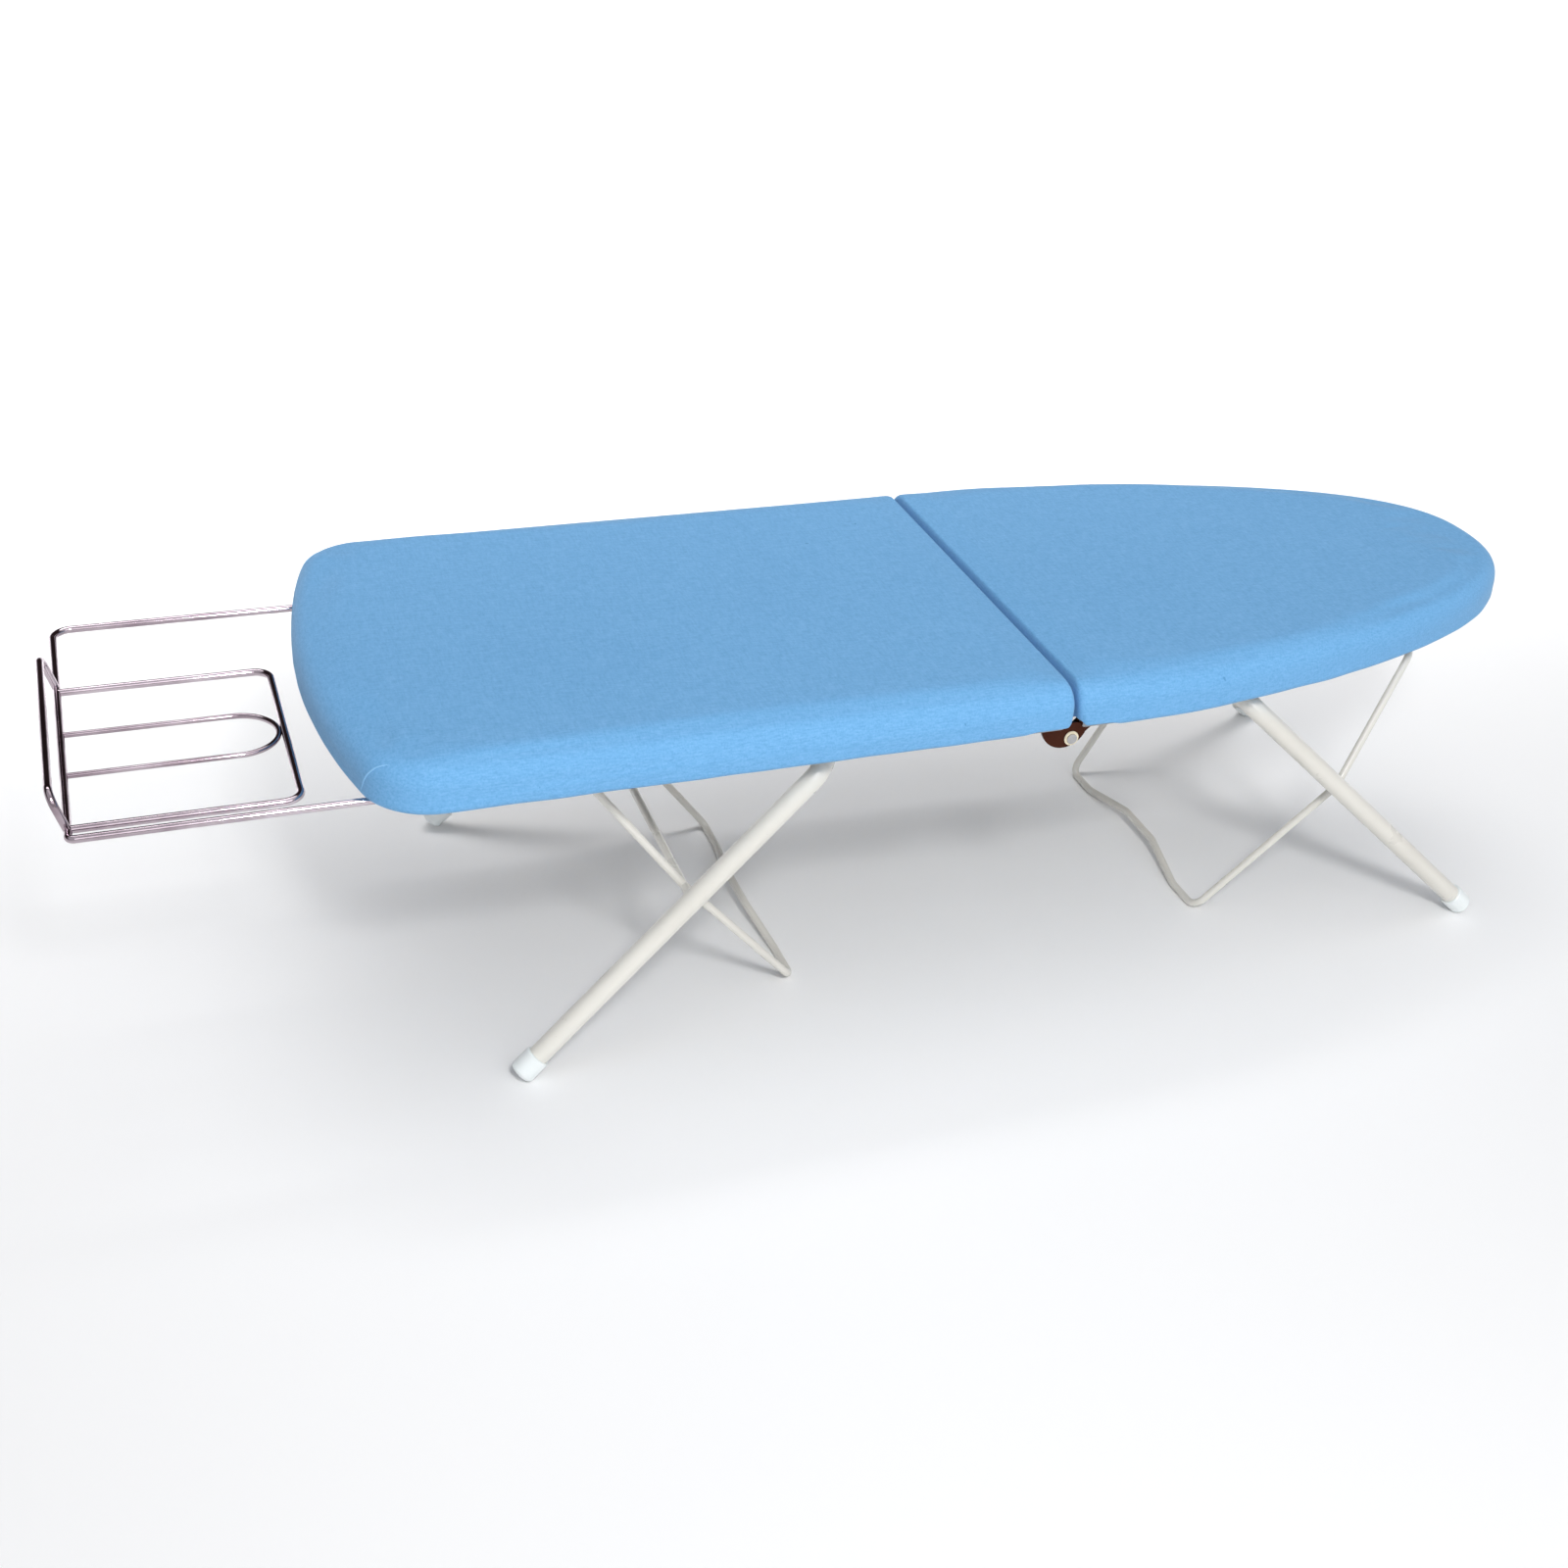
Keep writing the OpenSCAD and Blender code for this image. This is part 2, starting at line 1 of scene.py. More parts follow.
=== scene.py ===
"""Folding table-top ironing board: fabric covers, foam pads and finishes.

Lengths are in metres in the CAD part's frame: +X towards the pointed nose, -Y is
the side nearer the camera, +Z up from the table. The two halves are made by the
same functions, which measure x as a distance from the fold.
"""

import json
import math

import bmesh
import bpy
from mathutils import Matrix, Vector, noise


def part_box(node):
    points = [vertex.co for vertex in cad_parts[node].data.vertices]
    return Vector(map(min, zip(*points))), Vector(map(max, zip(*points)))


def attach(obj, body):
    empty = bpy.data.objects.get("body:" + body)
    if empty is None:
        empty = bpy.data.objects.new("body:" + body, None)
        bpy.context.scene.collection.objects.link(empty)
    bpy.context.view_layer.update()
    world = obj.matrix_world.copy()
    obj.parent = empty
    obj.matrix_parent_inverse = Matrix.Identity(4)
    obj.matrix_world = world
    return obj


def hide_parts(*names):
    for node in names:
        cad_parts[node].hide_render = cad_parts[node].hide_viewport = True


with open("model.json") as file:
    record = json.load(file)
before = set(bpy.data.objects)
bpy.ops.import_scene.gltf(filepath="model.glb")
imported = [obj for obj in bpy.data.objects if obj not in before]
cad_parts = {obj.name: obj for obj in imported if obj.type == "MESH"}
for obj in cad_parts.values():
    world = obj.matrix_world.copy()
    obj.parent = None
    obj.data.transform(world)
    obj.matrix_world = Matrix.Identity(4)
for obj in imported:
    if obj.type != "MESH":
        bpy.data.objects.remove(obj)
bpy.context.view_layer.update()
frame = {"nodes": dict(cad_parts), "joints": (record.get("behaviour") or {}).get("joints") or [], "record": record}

MM = 0.001

# ---------------------------------------------------------------- materials


def linear(channel):
    """Linear value of one sRGB channel, both from 0 to 1."""
    if channel < 0.04045:
        return channel / 12.92
    return ((channel + 0.055) / 1.055) ** 2.4


def srgb(red, green, blue):
    """Linear colour, with its alpha, of an sRGB one given from 0 to 1."""
    return [linear(channel) for channel in (red, green, blue)] + [1.0]


class Finish:
    """A node material with its Principled shader, built by small steps."""

    def __init__(self, name, colour, roughness=0.5, metallic=0.0):
        self.material = bpy.data.materials.new(name)
        self.material.use_nodes = True
        self.tree = self.material.node_tree
        self.shader = self.tree.nodes["Principled BSDF"]
        self.colour = srgb(*colour)
        self.shader.inputs["Base Color"].default_value = self.colour
        self.shader.inputs["Roughness"].default_value = roughness
        self.shader.inputs["Metallic"].default_value = metallic
        self.place = self.tree.nodes.new("ShaderNodeTexCoord").outputs["Object"]
        self.height = None

    def node(self, kind, **settings):
        """Adds a node; a setting is the value of an input or of a property."""
        made = self.tree.nodes.new(kind)
        for key, value in settings.items():
            if key in made.inputs:
                made.inputs[key].default_value = value
            else:
                setattr(made, key, value)
        return made

    def link(self, output, socket):
        self.tree.links.new(output, socket)

    def stretched(self, scale):
        """The object's own coordinates, scaled along each axis."""
        mapping = self.node("ShaderNodeMapping")
        mapping.inputs["Scale"].default_value = scale
        self.link(self.place, mapping.inputs["Vector"])
        return mapping.outputs["Vector"]

    def noise(self, scale, detail=3.0, roughness=0.5, stretch=(1, 1, 1)):
        made = self.node("ShaderNodeTexNoise")
        made.inputs["Scale"].default_value = scale
        made.inputs["Detail"].default_value = detail
        made.inputs["Roughness"].default_value = roughness
        self.link(self.stretched(stretch), made.inputs["Vector"])
        return made.outputs["Fac"]

    def ramp(self, value, low, high, start=0.0, end=1.0):
        """value from start..end turned into low..high."""
        made = self.node("ShaderNodeMapRange")
        for key, number in (("From Min", start), ("From Max", end), ("To Min", low), ("To Max", high)):
            made.inputs[key].default_value = number
        self.link(value, made.inputs["Value"])
        return made.outputs["Result"]

    def math(self, operation, first, second):
        made = self.node("ShaderNodeMath", operation=operation)
        for socket, value in zip(made.inputs, (first, second)):
            if isinstance(value, (int, float)):
                socket.default_value = value
            else:
                self.link(value, socket)
        return made.outputs["Value"]

    def mix(self, factor, colour):
        """Lays another colour over the base colour by factor."""
        made = self.node("ShaderNodeMix", data_type="RGBA")
        self.link(factor, made.inputs["Factor"])
        base = self.shader.inputs["Base Color"]
        if base.is_linked:
            self.link(base.links[0].from_socket, made.inputs[6])
        else:
            made.inputs[6].default_value = self.colour
        made.inputs[7].default_value = srgb(*colour)
        self.link(made.outputs[2], base)
        return self

    def rough(self, value):
        self.link(value, self.shader.inputs["Roughness"])
        return self

    def bump(self, value, depth, strength=1.0):
        made = self.node("ShaderNodeBump")
        made.inputs["Distance"].default_value = depth
        made.inputs["Strength"].default_value = strength
        self.link(value, made.inputs["Height"])
        if self.height:
            self.link(self.height, made.inputs["Normal"])
        self.height = made.outputs["Normal"]
        self.link(self.height, self.shader.inputs["Normal"])
        return self

    def set(self, **values):
        for key, value in values.items():
            self.shader.inputs[key.replace("_", " ")].default_value = value
        return self


WAVE_PERIOD = 0.314  # distance between a wave texture's bands at scale 1


def weave(finish, pitch):
    """Height of a plain weave whose threads are pitch apart, along X and Y."""
    bands = []
    for direction in ("X", "Y"):
        wave = finish.node("ShaderNodeTexWave", wave_type="BANDS", bands_direction=direction)
        wave.inputs["Scale"].default_value = WAVE_PERIOD / pitch
        wave.inputs["Distortion"].default_value = 1.2
        wave.inputs["Detail"].default_value = 1.0
        wave.inputs["Detail Scale"].default_value = 2.0
        finish.link(finish.place, wave.inputs["Vector"])
        bands.append(wave.outputs["Fac"])
    return finish.math("MULTIPLY", bands[0], bands[1])


def cotton(name, colour, light, dark):
    """Woven cotton with uneven threads, slubs and specks, and painted shade in the gaps of its weave."""
    made = Finish(name, colour, 0.88)
    threads = weave(made, 0.55 * MM)
    across = made.noise(900, 2.0, 0.6, (1, 0.22, 1))
    along = made.noise(900, 2.0, 0.6, (0.22, 1, 1))
    mottle = made.math("MULTIPLY", across, along)
    made.mix(made.ramp(mottle, 0.0, 0.34, 0.26, 0.42), light)
    made.mix(made.ramp(mottle, 0.34, 0.0, 0.12, 0.25), dark)
    made.mix(made.ramp(made.noise(5, 2.0, 0.5), 0.0, 0.10, 0.45, 0.75), dark)
    made.mix(made.ramp(made.noise(210, 1.0, 0.5), 0.0, 0.8, 0.80, 0.84), dark)
    # painted shade: the gaps between the weave's threads are darkened a little
    made.mix(made.ramp(threads, 0.08, 0.0, 0.0, 0.5), dark)
    made.rough(made.ramp(mottle, 0.94, 0.80, 0.1, 0.45))
    made.bump(made.noise(30, 3.0, 0.5), 0.4 * MM, 0.08)
    made.bump(made.noise(420, 2.0, 0.6), 0.15 * MM, 0.25)
    made.bump(threads, 0.10 * MM, 0.5)
    return made.set(Sheen_Weight=0.12, Sheen_Roughness=0.5, Specular_IOR_Level=0.2).material


def foam(name, colour):
    """Open-celled foam, a little yellowed in patches, with painted shade in the hollows of its cells."""
    made = Finish(name, colour, 0.95)
    cells = made.node("ShaderNodeTexVoronoi", Scale=900.0)
    made.link(made.place, cells.inputs["Vector"])
    made.mix(made.ramp(made.noise(14), 0.0, 0.35, 0.4, 0.8), (0.86, 0.78, 0.60))
    # painted shade: darker in the hollow at the middle of each cell
    made.mix(made.ramp(cells.outputs["Distance"], 0.3, 0.0, 0.0, 0.5), (0.72, 0.68, 0.58))
    made.bump(cells.outputs["Distance"], 0.5 * MM, 0.7)
    return made.material


def braid(name, colour):
    """Braided cord with greyed patches and painted shade in the grooves between its strands."""
    made = Finish(name, colour, 0.9)
    strands = weave(made, 0.9 * MM)
    # painted shade: the grooves between the strands are darkened grey
    made.mix(made.ramp(strands, 0.45, 0.0, 0.0, 0.4), (0.62, 0.60, 0.55))
    made.mix(made.ramp(made.noise(60), 0.0, 0.3, 0.5, 0.8), (0.55, 0.54, 0.52))
    made.bump(strands, 0.4 * MM, 0.8)
    return made.material


def enamel(name, colour, shade, roughness=0.32, peel=0.35):
    """Sprayed paint with a slight orange peel and rubbed, dusty patches."""
    made = Finish(name, colour, roughness)
    made.mix(made.ramp(made.noise(7), 0.0, 0.35, 0.42, 0.72), shade)
    made.mix(made.ramp(made.noise(150, 4.0, 0.7), 0.0, 0.5, 0.68, 0.8), shade)
    made.rough(made.ramp(made.noise(35, 4.0, 0.6), roughness - 0.08, roughness + 0.16, 0.3, 0.7))
    made.bump(made.noise(520, 2.0), 0.05 * MM, peel)
    made.bump(made.noise(60, 2.0), 0.08 * MM, 0.2)
    return made.set(Coat_Weight=0.25, Coat_Roughness=0.18).material


def plastic(name, colour, shade, roughness=0.3):
    """Moulded plastic with a fine matt grain and a few scuffs."""
    made = Finish(name, colour, roughness)
    scuffs = made.noise(90, 5.0, 0.7, (1, 1, 0.25))
    made.mix(made.ramp(scuffs, 0.0, 0.5, 0.6, 0.78), shade)
    made.rough(made.ramp(scuffs, roughness, roughness + 0.25, 0.45, 0.75))
    made.bump(made.noise(900, 2.0), 0.03 * MM, 0.4)
    return made.set(Subsurface_Weight=0.04, Subsurface_Radius=(0.002, 0.002, 0.002)).material


def plated(name, colour, tint_and_reflection, roughness=0.08, streaks=0.12, stretch=(1, 1, 1)):
    """Bright or dull plating with soft coloured patches and fine scratches; on dull plating the patches are
    smeared marks, on bright chrome they are painted dark reflections.
    """
    made = Finish(name, colour, roughness, 1.0)
    smears_and_reflections = made.noise(18, 4.0, 0.6)
    scratches = made.noise(650, 3.0, 0.7, stretch)
    # patches of the second colour: smeared marks on dull plating, painted dark reflections on bright chrome
    made.mix(made.ramp(smears_and_reflections, 0.0, 0.8, 0.35, 0.75), tint_and_reflection)
    made.mix(made.ramp(scratches, 0.0, 0.4, 0.66, 0.8), tint_and_reflection)
    made.rough(made.ramp(smears_and_reflections, roughness * 0.6, roughness + streaks, 0.3, 0.75))
    made.bump(scratches, 0.02 * MM, 0.25)
    return made.material


MATERIALS = {
    "cover": cotton("cotton_cover", (0.435, 0.662, 0.845), (0.54, 0.75, 0.92), (0.31, 0.54, 0.73)),
    # crease welt: a lighter copy of the cover's cotton, a painted highlight along the welt
    "crease": cotton("cotton_crease_painted_highlight", (0.55, 0.76, 0.92), (0.62, 0.80, 0.94), (0.44, 0.66, 0.84)),
    "foam": foam("cream_foam", (0.93, 0.89, 0.78)),
    "cord": braid("braided_elastic", (0.86, 0.84, 0.79)),
    "deck": enamel("grey_deck_paint", (0.62, 0.63, 0.64), (0.50, 0.51, 0.52), 0.42),
    "bracket": plated("dull_zinc", (0.66, 0.67, 0.69), (0.50, 0.50, 0.50), 0.34, 0.18, (0.1, 1, 1)),
    "rivet": plated("bright_zinc", (0.74, 0.74, 0.75), (0.55, 0.54, 0.52), 0.26, 0.15),
    "guide": plastic("nylon_guide", (0.90, 0.90, 0.86), (0.72, 0.71, 0.66), 0.45),
    "hinge": plated("dark_bronze", (0.30, 0.17, 0.13), (0.13, 0.07, 0.06), 0.26, 0.2),
    "leg_paint": enamel("cream_enamel", (0.86, 0.85, 0.82), (0.77, 0.75, 0.71)),
    "cap": plastic("white_cap", (0.90, 0.92, 0.92), (0.78, 0.79, 0.77), 0.28),
    "washer": plastic("cream_washer", (0.86, 0.82, 0.72), (0.66, 0.60, 0.50), 0.4),
    # bright chrome: its pink-purple colour and its dark purple patches are painted reflections
    "chrome": plated("chrome_painted_reflections", (0.82, 0.77, 0.80), (0.38, 0.28, 0.34), 0.05, 0.08),
}


def finish_as(piece, slot):
    """Gives a piece one of the materials."""
    piece.data.materials.clear()
    piece.data.materials.append(MATERIALS[slot])


def dress_cad():
    """Gives every CAD node the detailed material of its slot in the record."""
    for part in frame["record"]["subparts"]:
        node = frame["nodes"][part["node"]]
        for own in node.material_slots:
            own.material = MATERIALS[part["material_slot"]]


dress_cad()

# ------------------------------------------------------- shapes of the halves

COVER_LOW, COVER_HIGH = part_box("rear_cover")
FOLD_X = frame["joints"][0]["pos_m"][0]
HEM_Z = COVER_LOW.z
TOP_Z = COVER_HIGH.z
HALF_W = COVER_HIGH.y
LENGTH = {
    "rear": FOLD_X - COVER_LOW.x,
    "nose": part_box("nose_cover")[1].x - FOLD_X,
}
AWAY = {"rear": -1, "nose": 1}  # the way along X from the fold to the half's end

CORNER_R = 42 * MM  # rear corners, seen from above
LEAST_CORNER_R = 6 * MM
END_BOW_R = 480 * MM  # the rear end's bow, seen from above
NOSE_STRAIGHT = 50 * MM  # from the fold to the start of the nose's taper
NOSE_FULLNESS = 1.45
NOSE_BLUNTNESS = 0.41
FOLD_CORNER_R = 4.5 * MM  # corners beside the fold, seen from above
FOLD_GAP = 0.5 * MM  # from the fold line to the edge of a half
EDGE_R = 13 * MM  # the top's rounded edge
LAID_IN = 1.4 * MM  # from the outline in to the cloth as it is laid
LAID_AT_FOLD = 0.5 * MM  # the same beside the fold
FOLD_SHARPNESS = 0.22  # share of an inset that is kept beside the fold
SPINE_START = 120 * MM  # from the fold to the line that the top is gathered to
SPINE_END = {"rear": 160 * MM, "nose": 120 * MM}  # from that line to the half's end

SPACING = 5.5 * MM
CORNER_STEPS = 12
FOLD_CORNER_STEPS = 3
STRAIGHT_STEPS = 8
TAPER_STEPS = 76
DOUBLED = 0.05 * MM  # points nearer to each other than this are joined


def taper(t):
    """Share of the half-width left at a part t of the way along the nose's taper."""
    return max(0.0, 1 - t**NOSE_FULLNESS) ** NOSE_BLUNTNESS


def between(a, b, t):
    """Point at a part t of the way from a to b."""
    return a[0] + (b[0] - a[0]) * t, a[1] + (b[1] - a[1]) * t


def line(a, b, steps):
    """Points on a line, without its last one."""
    return [between(a, b, i / steps) for i in range(steps)]


def arc(cx, cy, r, start, end, steps):
    """Points on an arc, without its last one."""
    turn = [math.radians(start + (end - start) * i / steps) for i in range(steps)]
    return [(cx + r * math.cos(a), cy + r * math.sin(a)) for a in turn]


def rear_sides(start, w, inset):
    """The rear half's outline from one fold corner, round its bowed end, to the other."""
    r = max(CORNER_R - inset, LEAST_CORNER_R)
    bow = END_BOW_R - inset
    bow_x = LENGTH["rear"] - END_BOW_R
    meet = math.asin((w - r) / (bow - r))
    turn = math.degrees(meet)
    corner_x = bow_x + (bow - r) * math.cos(meet)
    side_steps = round(LENGTH["rear"] / SPACING)
    end_steps = round(2 * (HALF_W - CORNER_R) / SPACING)
    points = line((start, -w), (corner_x, -w), side_steps)
    points += arc(corner_x, -w + r, r, -90, -turn, CORNER_STEPS)
    points += arc(bow_x, 0, bow, -turn, turn, end_steps)
    points += arc(corner_x, w - r, r, turn, 90, CORNER_STEPS)
    points += line((corner_x, w), (start, w), side_steps)
    return points


def nose_sides(start, w, inset):
    """The nose half's outline from one fold corner, round its tip, to the other."""
    tip = LENGTH["nose"] - inset
    curve = []
    for i in range(TAPER_STEPS + 1):
        t = math.sin(math.pi / 2 * i / TAPER_STEPS)
        curve.append((NOSE_STRAIGHT + (tip - NOSE_STRAIGHT) * t, w * taper(t)))
    points = line((start, -w), (NOSE_STRAIGHT, -w), STRAIGHT_STEPS)
    points += [(x, -y) for x, y in curve]
    points += curve[-2:0:-1]
    points += line((NOSE_STRAIGHT, w), (start, w), STRAIGHT_STEPS)
    return points


def outline(half, inset):
    """Outline of a half as (distance from the fold, y), pulled in by inset.

    It has the same number of points at every inset, so that rings can be joined.
    """
    near = FOLD_GAP + LAID_AT_FOLD + (inset - LAID_IN) * FOLD_SHARPNESS
    w = HALF_W - inset
    r = FOLD_CORNER_R
    sides = rear_sides if half == "rear" else nose_sides
    points = sides(near + r, w, inset)
    points += arc(near + r, w - r, r, 90, 180, FOLD_CORNER_STEPS)
    points += line((near, w - r), (near, -w + r), round(2 * HALF_W / SPACING))
    points += arc(near + r, -w + r, r, 180, 270, FOLD_CORNER_STEPS)
    return points


def spine(half, point):
    """Nearest place to a point on the middle line that the top is gathered to."""
    end = LENGTH[half] - SPINE_END[half]
    return min(max(point[0], SPINE_START), end), 0.0


def at_fold(half, x, y, z):
    """Place in the part's frame of a point given by its distance from the fold."""
    return Vector((FOLD_X + AWAY[half] * x, y, z))


def rounded(inset, top, r, steps):
    """(inset, z) pairs over a rounded upper edge, from the top down to the side."""
    angles = [math.pi / 2 * i / steps for i in range(steps + 1)]
    return [(inset + r * (1 - math.sin(a)), top - r * (1 - math.cos(a))) for a in angles]


def top_rings(half, inset, z, count):
    """Rings from the spine out to an outline at one height, without the last one."""
    edge = outline(half, inset)
    return [
        [at_fold(half, *between(spine(half, point), point, j / count), z) for point in edge]
        for j in range(count)
    ]


def placed(name, data):
    """A new object in the scene."""
    made = bpy.data.objects.new(name, data)
    bpy.context.scene.collection.objects.link(made)
    return made


def loft(name, rings):
    """Smooth mesh of quads between closed rings that have as many points each."""
    bm = bmesh.new()
    rows = [[bm.verts.new(point) for point in ring] for ring in rings]
    count = len(rows[0])
    for upper, lower in zip(rows, rows[1:]):
        for i in range(count):
            k = (i + 1) % count
            bm.faces.new((upper[i], lower[i], lower[k], upper[k]))
    bmesh.ops.remove_doubles(bm, verts=bm.verts, dist=DOUBLED)
    bmesh.ops.recalc_face_normals(bm, faces=bm.faces)
    mesh = bpy.data.meshes.new(name)
    bm.to_mesh(mesh)
    bm.free()
    mesh.shade_smooth()
    return placed(name, mesh)


def share(value):
    """The value held between 0 and 1."""
    return max(0.0, min(1.0, value))


NOTCH = {"rear": 0.8 * MM, "nose": 5.5 * MM}
NOTCH_RISE = 19 * MM
NOTCH_REACH = 24 * MM
NOTCH_SIDE = 42 * MM


def notch(half, x, y, z):
    """How far a fold corner is pulled back near the hem, which opens a narrow V."""
    down = share((HEM_Z + NOTCH_RISE - z) / NOTCH_RISE)
    near_fold = share(1 - x / NOTCH_REACH)
    at_side = share((abs(y) - HALF_W + NOTCH_SIDE) / NOTCH_SIDE)
    return NOTCH[half] * down**1.5 * near_fold * at_side**2


def bake(piece):
    """Applies the piece's modifiers to its mesh."""
    depsgraph = bpy.context.evaluated_depsgraph_get()
    mesh = bpy.data.meshes.new_from_object(piece.evaluated_get(depsgraph))
    piece.modifiers.clear()
    piece.data = mesh


def smooth_out(piece, thickness=0.0):
    """Subdivides a piece once, after thickening it inwards if it is a sheet."""
    if thickness:
        shell = piece.modifiers.new("Shell", "SOLIDIFY")
        shell.thickness = thickness
        shell.offset = -1
    rounder = piece.modifiers.new("Rounder", "SUBSURF")
    rounder.levels = 1
    rounder.render_levels = 1
    bake(piece)
    piece.data.shade_smooth()


# --------------------------------------------------------------------- pads

PAD_INSET = 3.4 * MM
PAD_EDGE_R = EDGE_R - 3 * MM
PAD_TOP_Z = TOP_Z - 4.2 * MM
DECK_ROOM = 0.4 * MM


def make_pad(half):
    """Foam pad with a rounded edge, on the deck and down over its rim."""
    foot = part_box(f"{half}_pad")[0].z
    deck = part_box(f"{half}_deck")[1]
    deck_top = deck.z + DECK_ROOM
    inner = HALF_W - deck.y - DECK_ROOM
    chain = rounded(PAD_INSET, PAD_TOP_Z, PAD_EDGE_R, 5)
    chain.append((PAD_INSET, foot + 2 * MM))
    chain.append((PAD_INSET + 0.3 * MM, foot))
    chain.append((inner, foot))
    chain.append((inner, deck_top))
    rings = top_rings(half, chain[0][0], PAD_TOP_Z, 12)
    rings += [
        [at_fold(half, x + notch(half, x, y, z), y, z) for x, y in outline(half, inset)]
        for inset, z in chain
    ]
    rings += reversed(top_rings(half, inner + 2 * MM, deck_top, 8))
    pad = loft(f"{half}_foam", rings)
    smooth_out(pad)
    finish_as(pad, "foam")
    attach(pad, f"{half}_half")
    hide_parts(f"{half}_pad")


# ------------------------------------------------------------------- covers

CLOTH_T = 1.0 * MM
EDGE_STEPS = 7
SIDE_STEPS = 6
HEM_FLAT = 12 * MM  # width of the hem's flat underside
HEM_STEPS = 3

# Room for the hinges: here the cloth is kept above ROOM_Z.
ROOM_X = 26 * MM
ROOM_IN_Y = 140 * MM
ROOM_OUT_Y = HALF_W - 2.8 * MM
ROOM_Z = HEM_Z + 6.8 * MM

GATHER_RISE = 16 * MM
GATHER_DEPTH = 1.1 * MM
GATHER_RATE = 38
GATHER_SEED = {"rear": 3.0, "nose": 8.0}

SIM_FRAMES = 20
PRESSURE = 2.2
CAP_OUT = 2.2 * MM
CAP_IN = 0.5 * MM
EVENING_ROUNDS = 10

HELD_Z = HEM_Z + 7 * MM
HELD_AT_FOLD = 2 * MM
HELD_FADE = 8 * MM
HELD_LEAST = 0.02


def gather(half, point, z):
    """How far the elastic hem's small gathers push the lower side in or out."""
    low = max(0.0, 1 - (z - HEM_Z) / GATHER_RISE)
    where = Vector((point.x * GATHER_RATE, point.y * GATHER_RATE, GATHER_SEED[half]))
    return low * low * GATHER_DEPTH * noise.noise(where)


def cover_section():
    """(inset, z) pairs of the cloth from the top's edge down to the hem's inner edge."""
    chain = rounded(LAID_IN, TOP_Z - LAID_IN, EDGE_R, EDGE_STEPS)
    low = chain[-1][1]
    foot = HEM_Z + 5 * MM
    for i in range(1, SIDE_STEPS + 1):
        chain.append((LAID_IN, low + (foot - low) * i / SIDE_STEPS))
    chain.append((LAID_IN + 0.6 * MM, HEM_Z + 3.2 * MM))
    chain.append((LAID_IN + 2.2 * MM, HEM_Z + 1.5 * MM))
    for i in range(HEM_STEPS + 1):
        chain.append((LAID_IN + 5 * MM + i * HEM_FLAT / HEM_STEPS, HEM_Z + 0.8 * MM))
    return chain


def in_hinge_room(x, y):
    return x < ROOM_X and ROOM_IN_Y < abs(y) < ROOM_OUT_Y


def cover_rings(half):
    """Rings of the cloth, from the middle of the top down the side to the hem."""
    chain = cover_section()
    rings = top_rings(half, chain[0][0], TOP_Z - LAID_IN, round(HALF_W / SPACING))
    middle = Vector((at_fold(half, LENGTH[half] / 2, 0, 0).x, 0, 0))
    for inset, z in chain:
        ring = []
        for x, y in outline(half, inset):
            place = at_fold(half, x, y, z)
            away = (place - middle) * Vector((1, 1, 0))
            place += away.normalized() * gather(half, place, z)
            if in_hinge_room(x, y):
                place.z = max(z, ROOM_Z)
            place.x += AWAY[half] * notch(half, x, y, z)
            ring.append(place)
        rings.append(ring)
    return rings


def held(point):
    """How firmly the cloth is held at a place: fully at the hem and at the fold."""
    if point.z < HELD_Z:
        return 1.0
    past = max(0.0, abs(point.x - FOLD_X) - HELD_AT_FOLD)
    return max(HELD_LEAST, 1 - past / HELD_FADE)


def evened(mesh, steps):
    """Each vertex's step averaged with its neighbours', which irons out small ripples."""
    beside = [[] for _ in mesh.vertices]
    for edge in mesh.edges:
        a, b = edge.vertices
        beside[a].append(b)
        beside[b].append(a)
    for _ in range(EVENING_ROUNDS):
        steps = [
            step * 0.5 + sum((steps[k] for k in near), Vector()) * (0.5 / max(1, len(near)))
            for step, near in zip(steps, beside)
        ]
    return steps


def add_cloth(piece):
    """Cloth modifier that inflates the piece, held as its vertex group says."""
    group = piece.vertex_groups.new(name="held")
    for vertex in piece.data.vertices:
        group.add([vertex.index], held(vertex.co), "REPLACE")
    modifier = piece.modifiers.new("Cloth", "CLOTH")
    settings = modifier.settings
    settings.quality = 6
    settings.mass = 0.15
    settings.tension_stiffness = 25
    settings.compression_stiffness = 25
    settings.shear_stiffness = 12
    settings.bending_stiffness = 1.2
    settings.air_damping = 2
    settings.use_pressure = True
    settings.uniform_pressure_force = PRESSURE
    settings.vertex_group_mass = "held"
    settings.effector_weights.gravity = 0
    modifier.point_cache.frame_start = 1
    modifier.point_cache.frame_end = SIM_FRAMES
    return modifier


def simulate(cloth):
    """Inflates the cloth a little over its pad and keeps the result, within caps."""
    before = [vertex.co.copy() for vertex in cloth.data.vertices]
    modifier = add_cloth(cloth)
    scene = bpy.context.scene
    for number in range(1, SIM_FRAMES + 1):
        scene.frame_set(number)
    moved = cloth.evaluated_get(bpy.context.evaluated_depsgraph_get()).to_mesh()
    after = [vertex.co.copy() for vertex in moved.vertices]
    cloth.modifiers.remove(modifier)
    scene.frame_set(1)
    outward = [vertex.normal.copy() for vertex in cloth.data.vertices]
    steps = evened(cloth.data, [new - old for new, old in zip(after, before)])
    for vertex, old, step, out in zip(cloth.data.vertices, before, steps, outward):
        rise = max(-CAP_IN, min(CAP_OUT, step.dot(out)))
        slide = step - out * step.dot(out)
        if slide.length > CAP_IN:
            slide = slide.normalized() * CAP_IN
        vertex.co = old + out * rise + slide
    cloth.data.update()


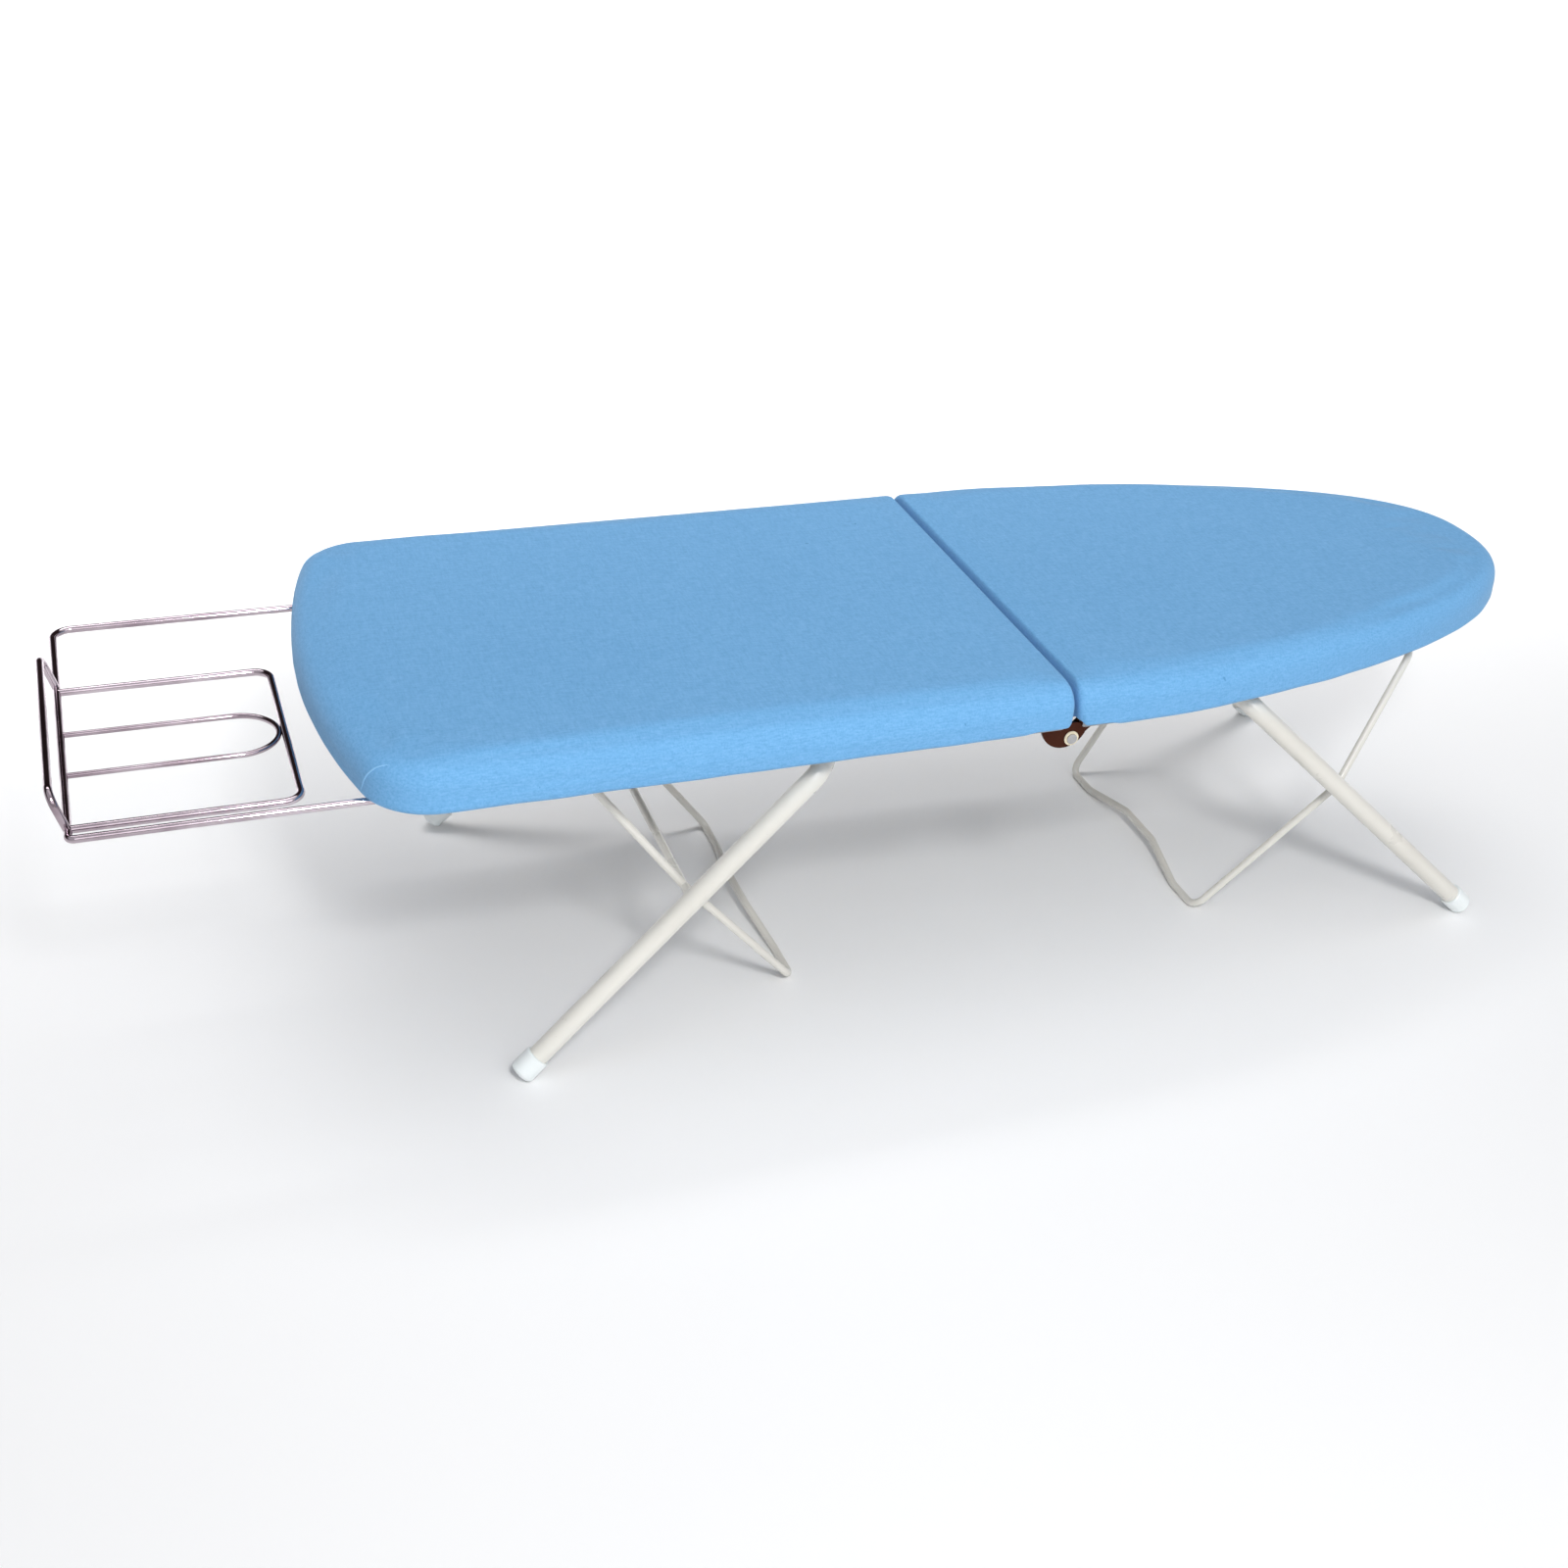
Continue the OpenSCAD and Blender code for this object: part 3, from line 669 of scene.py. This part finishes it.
def make_cover(half):
    """Cloth cover of a half, laid over its pad, inflated a little and thickened."""
    cloth = loft(f"{half}_cloth", cover_rings(half))
    simulate(cloth)
    smooth_out(cloth, CLOTH_T)
    finish_as(cloth, "cover")
    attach(cloth, f"{half}_half")
    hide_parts(f"{half}_cover")
    return cloth


# ------------------------------------------------------------------ creases

CREASE_R = 0.5 * MM
CREASE_STEPS = 16
CREASE_START = 14  # degrees round the corner
CREASE_SWEEP = 30
CREASE_BACK = 15 * MM
CREASE_IN = 5 * MM
CREASE_FOOT = 5 * MM
CREASE_RISE = 26 * MM
CREASE_PROUD = 0.05 * MM


def crease_point(side, t):
    """Place at a part t of the way up a crease, before it is laid on the cloth."""
    turn = math.radians(CREASE_START + CREASE_SWEEP * t)
    out = CORNER_R - CREASE_IN * t * t
    x = LENGTH["rear"] - CORNER_R - CREASE_BACK + out * math.cos(turn)
    y = HALF_W - CORNER_R + out * math.sin(turn)
    z = HEM_Z + CREASE_FOOT + CREASE_RISE * math.sin(math.pi / 2 * t)
    return at_fold("rear", x, side * y, z)


def tube_through(name, points, thickness):
    """Mesh of a thin tube through the points; thickness gives its share at a part t."""
    curve = bpy.data.curves.new(name, "CURVE")
    curve.dimensions = "3D"
    curve.bevel_depth = CREASE_R
    spline = curve.splines.new("POLY")
    spline.points.add(len(points) - 1)
    for i, (made, place) in enumerate(zip(spline.points, points)):
        made.co = (*place, 1)
        made.radius = thickness(i / (len(points) - 1))
    drawn = placed(name + "_curve", curve)
    depsgraph = bpy.context.evaluated_depsgraph_get()
    mesh = bpy.data.meshes.new_from_object(drawn.evaluated_get(depsgraph))
    bpy.data.objects.remove(drawn)
    mesh.shade_smooth()
    return mesh


def make_crease(cloth, name, side):
    """Thin welt where the rear cloth is pulled round one of its end corners, coloured lighter as a painted
    highlight along its ridge.
    """
    points = []
    for i in range(CREASE_STEPS + 1):
        near = crease_point(side, i / CREASE_STEPS)
        _, where, normal, _ = cloth.closest_point_on_mesh(near)
        points.append(where + normal * CREASE_PROUD)
    mesh = tube_through(name, points, lambda t: math.sin(math.pi * (0.1 + 0.85 * t)))
    made = placed(name, mesh)
    # the lighter crease cotton is a painted highlight
    finish_as(made, "crease")
    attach(made, "rear_half")


for half in ("rear", "nose"):
    make_pad(half)
    cloth = make_cover(half)
    if half == "rear":
        make_crease(cloth, "rear_near_crease", -1)
        make_crease(cloth, "rear_far_crease", 1)

# -------------------------------------------------- floor, light and camera

FLOOR_REACH = 7.0

# The world is bright in one direction, dim in the other, and pale at the horizon.
BRIGHT_WAY = (0.0, -0.62, 0.78)
BRIGHT = (0.95, 0.97, 1.0, 1)
DIM = (0.045, 0.028, 0.030, 1)
HORIZON = (0.92, 0.93, 0.95, 1)
HORIZON_FULL = 0.14  # height of a direction up to which it is wholly pale
HORIZON_GONE = 0.26
WORLD_STRENGTH = 0.66

CAMERA_PLACE = (-0.4302, -1.0678, 0.7610)
CAMERA_PAN = 23.46
CAMERA_TILT = -30.49
CAMERA_ROLL = -4.50


def make_floor():
    """Pale floor at the height of the table."""
    r = FLOOR_REACH
    mesh = bpy.data.meshes.new("floor")
    mesh.from_pydata([(-r, -r, 0), (r, -r, 0), (r, r, 0), (-r, r, 0)], [], [(0, 1, 2, 3)])
    floor = placed("floor", mesh)
    ground = Finish("pale_floor", (0.97, 0.97, 0.97), 0.75)
    ground.mix(ground.ramp(ground.noise(3), 0.0, 0.05, 0.4, 0.6), (0.93, 0.93, 0.93))
    floor.data.materials.append(ground.material)


def area_light(name, place, aim, size, power, spread=180):
    """Rectangular light at a place, turned towards aim."""
    light = bpy.data.lights.new(name, "AREA")
    light.shape = "RECTANGLE"
    light.size, light.size_y = size
    light.energy = power
    light.spread = math.radians(spread)
    made = placed(name, light)
    made.location = place
    made.rotation_mode = "QUATERNION"
    made.rotation_quaternion = (Vector(aim) - Vector(place)).to_track_quat("-Z", "Y")


def make_lights():
    """Small key from the near side, two soft cards, and light on the floor behind."""
    area_light("key", (-0.2, -1.3, 1.3), (0, 0, 0.15), (0.24, 0.24), 13)
    area_light("front_card", (0.4, -2.2, 1.6), (0, 0, 0.2), (2.6, 1.4), 14)
    area_light("top", (0.2, 0.2, 2.4), (0, 0, 0.2), (1.8, 1.8), 5)
    area_light("far_floor", (0.3, 2.3, 2.4), (0.3, 2.4, 0), (8.0, 2.8), 210, 80)


def make_world():
    """Soft light from above and in front, a dim band behind and a pale horizon."""
    world = bpy.data.worlds.new("studio")
    world.use_nodes = True
    nodes = world.node_tree.nodes
    link = world.node_tree.links.new
    background = nodes["Background"]
    background.inputs["Strength"].default_value = WORLD_STRENGTH
    direction = nodes.new("ShaderNodeTexCoord").outputs["Generated"]

    towards = nodes.new("ShaderNodeVectorMath")
    towards.operation = "DOT_PRODUCT"
    towards.inputs[1].default_value = BRIGHT_WAY
    link(direction, towards.inputs[0])
    shade = nodes.new("ShaderNodeValToRGB")
    shade.color_ramp.interpolation = "EASE"
    for stop, position, colour in zip(shade.color_ramp.elements, (0.25, 0.75), (DIM, BRIGHT)):
        stop.position = position
        stop.color = colour
    link(towards.outputs["Value"], shade.inputs["Fac"])

    split = nodes.new("ShaderNodeSeparateXYZ")
    link(direction, split.inputs[0])
    low = nodes.new("ShaderNodeMapRange")
    low.inputs["From Min"].default_value = HORIZON_FULL
    low.inputs["From Max"].default_value = HORIZON_GONE
    low.inputs["To Min"].default_value = 1.0
    low.inputs["To Max"].default_value = 0.0
    link(split.outputs["Z"], low.inputs["Value"])
    mix = nodes.new("ShaderNodeMix")
    mix.data_type = "RGBA"
    mix.inputs[7].default_value = HORIZON
    link(low.outputs["Result"], mix.inputs["Factor"])
    link(shade.outputs["Color"], mix.inputs[6])
    link(mix.outputs[2], background.inputs["Color"])
    bpy.context.scene.world = world
    bpy.context.scene.view_settings.view_transform = "Standard"


def make_camera():
    """Camera that looks down on the board from its near side, rear end first."""
    pan, tilt, roll = map(math.radians, (CAMERA_PAN, CAMERA_TILT, CAMERA_ROLL))
    forward = Vector((
        math.sin(pan) * math.cos(tilt),
        math.cos(pan) * math.cos(tilt),
        math.sin(tilt),
    ))
    level = Vector((math.cos(pan), -math.sin(pan), 0))
    below = forward.cross(level)
    right = level * math.cos(roll) + below * math.sin(roll)
    up = right.cross(forward)
    camera = placed("camera", bpy.data.cameras.new("camera"))
    camera.matrix_world = Matrix((right, up, -forward)).transposed().to_4x4()
    camera.location = CAMERA_PLACE
    camera.data.sensor_width = 36
    camera.data.lens = 46.12
    camera.data.shift_x = -0.0625
    bpy.context.scene.camera = camera


make_floor()
make_world()
make_lights()
make_camera()
